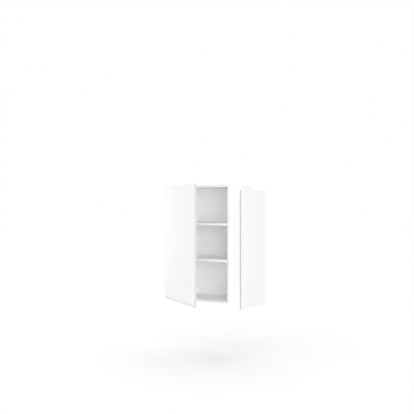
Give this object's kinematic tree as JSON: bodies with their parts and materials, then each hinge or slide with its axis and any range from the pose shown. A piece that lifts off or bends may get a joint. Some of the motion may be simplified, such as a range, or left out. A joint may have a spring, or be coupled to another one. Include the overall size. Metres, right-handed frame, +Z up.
{
  "type": "hanging wall cabinet",
  "caption": "White wall cabinet with a left-hung door without a handle, loose shelves, a hidden hanging rail and a separate cover panel for its right side.",
  "frame": {"origin": "middle of the rear face of the wall rail, which lies on the wall", "axes": "+Z up, +Y into the wall, so the door faces -Y, and +X to the right seen from the front"},
  "size_m": [0.7396, 0.6352, 0.922],
  "materials": {
    "carcass_board": "white melamine faced chipboard, satin",
    "back_board": "white lacquered hardboard, satin",
    "shelf_board": "white melamine faced chipboard, satin",
    "edge_band": "white edge band, satin",
    "door_gloss": "white high-gloss lacquer on fibreboard",
    "cover_board": "white gloss foil on board",
    "cover_band": "grey edge band",
    "zinc": "die-cast zinc, satin",
    "hinge_steel": "nickel-plated steel",
    "screw_steel": "zinc-plated steel",
    "rail_steel": "galvanised steel",
    "pin_steel": "nickel-plated steel",
    "dowel_beech": "plain beech",
    "cap_plastic": "white plastic",
    "buffer_soft": "clear soft plastic"
  },
  "bodies": {
    "carcass": {"side_left": "carcass_board", "side_right": "carcass_board", "top_board": "carcass_board", "bottom_board": "carcass_board", "back_panel": "back_board", "shelf_upper": "shelf_board", "shelf_lower": "shelf_board", "carcass_edge_bands": "edge_band", "shelf_edge_bands": "edge_band", "shelf_pins": "pin_steel", "dowels": "dowel_beech", "cam_bolts": "screw_steel", "cams": "zinc", "cam_caps": "cap_plastic", "hinge_arms": "hinge_steel", "hinge_arm_screws": "screw_steel", "hinge_pins": "pin_steel", "wall_rail": "rail_steel", "bracket_left": "rail_steel", "bracket_right": "rail_steel", "bracket_screws": "screw_steel"},
    "door": {"door_panel": "door_gloss", "door_edge_bands": "edge_band", "door_buffers": "buffer_soft", "hinge_cups": "hinge_steel", "hinge_cup_screws": "screw_steel"},
    "side_cover": {"cover_panel": "cover_board", "cover_edge_band": "cover_band"}
  },
  "joints": [
    {"name": "door_hinge", "type": "hinge", "parent": "carcass", "child": "door", "pos_m": [-0.298, -0.321, -0.39], "axis": [0, 0, -1], "range_deg": [-30, 75]},
    {"name": "side_cover_slide", "type": "slide", "parent": "carcass", "child": "side_cover", "axis": [-0.9683, 0, 0.2496], "range_m": [0, 0.1262]}
  ]
}
